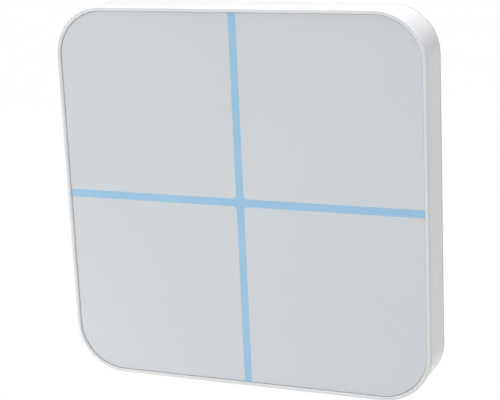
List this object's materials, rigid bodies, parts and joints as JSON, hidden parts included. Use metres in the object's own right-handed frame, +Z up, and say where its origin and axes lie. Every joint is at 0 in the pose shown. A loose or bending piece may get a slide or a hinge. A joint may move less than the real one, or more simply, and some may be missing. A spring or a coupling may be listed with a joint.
{
  "type": "wireless wall switch",
  "caption": "Square wireless wall switch with a touch face split into quarters by a light cross; it lifts off a magnetic wall plate.",
  "frame": {"origin": "centre of the wall plate's back face, on the wall", "axes": "+Y into the wall, +Z up the wall, +X to the right as seen from the room"},
  "size_m": [0.085, 0.013, 0.085],
  "materials": {
    "panel_gloss": "flat gloss grey panel, printed behind",
    "cross_diffuser": "light-blue light guide",
    "housing_white": "white moulding, satin",
    "cover_white": "white moulding, fine texture",
    "carrier_grey": "dark grey inner moulding",
    "board_green": "glass fibre board with solder mask",
    "chip_black": "moulded epoxy",
    "connector_white": "nylon connector",
    "connector_black": "heat-proof connector plastic",
    "lamp_white": "clear resin on a white case",
    "antenna_ceramic": "fired ceramic",
    "copper": "thin copper layer",
    "shield_tin": "tinned steel sheet",
    "crystal_case": "nickel-plated lid",
    "usb_steel": "drawn stainless tube",
    "screw_steel": "zinc-plated steel",
    "motor_steel": "drawn steel can and shaft",
    "weight_metal": "sintered heavy metal",
    "magnet_nickel": "nickel plate on magnet",
    "strike_steel": "rolled steel disc",
    "battery_foil": "laminated foil pouch",
    "tape_black": "double-sided tape",
    "foam_white": "foam mounting strip",
    "lead_red": "soft insulation",
    "lead_black": "soft insulation",
    "button_grey": "moulded button"
  },
  "bodies": {
    "wall_bracket": {"wall_plate": "cover_white", "strike_discs": "strike_steel", "adhesive_pads": "foam_white"},
    "controller": {"touch_panel_top_left": "panel_gloss", "touch_panel_top_right": "panel_gloss", "touch_panel_bottom_left": "panel_gloss", "touch_panel_bottom_right": "panel_gloss", "light_cross": "cross_diffuser", "panel_adhesive": "tape_black", "touch_sensor_board": "board_green", "touch_electrodes": "copper", "cross_leds": "lamp_white", "touch_controller": "chip_black", "housing_frame": "housing_white", "carrier_frame": "carrier_grey", "main_board": "board_green", "board_screws": "screw_steel", "microcontroller": "chip_black", "crystal": "crystal_case", "charger_chip": "chip_black", "chip_antenna": "antenna_ceramic", "board_plug": "connector_black", "board_socket": "connector_black", "radio_board": "board_green", "radio_shield": "shield_tin", "buzzer": "chip_black", "usb_shell": "usb_steel", "usb_insert": "connector_black", "battery_cell": "battery_foil", "battery_pad": "tape_black", "battery_socket": "connector_white", "battery_plug": "connector_white", "battery_lead_red": "lead_red", "battery_lead_black": "lead_black", "motor_case": "motor_steel", "motor_lead_red": "lead_red", "motor_lead_black": "lead_black", "pairing_switch": "shield_tin", "rear_cover": "cover_white", "cover_magnets": "magnet_nickel", "cover_screws": "screw_steel"},
    "button": {"pairing_button": "button_grey", "switch_stem": "connector_black"},
    "motor_rotor": {"motor_shaft": "motor_steel", "motor_weight": "weight_metal"}
  },
  "joints": [
    {"name": "unit_pull_off", "type": "slide", "parent": "wall_bracket", "child": "controller", "axis": [0, -1, 0], "range_m": [0, 0.03], "stiffness_N_per_m": 60, "springref_m": -0.05},
    {"name": "pairing_button_press", "type": "slide", "parent": "controller", "child": "button", "axis": [0, -1, 0], "range_m": [0, 0.0004], "stiffness_N_per_m": 400, "springref_m": -0.001},
    {"name": "motor_spin", "type": "hinge", "parent": "controller", "child": "motor_rotor", "pos_m": [-0.012, -0.00592, 0.0275], "axis": [1, 0, 0], "continuous": true}
  ]
}
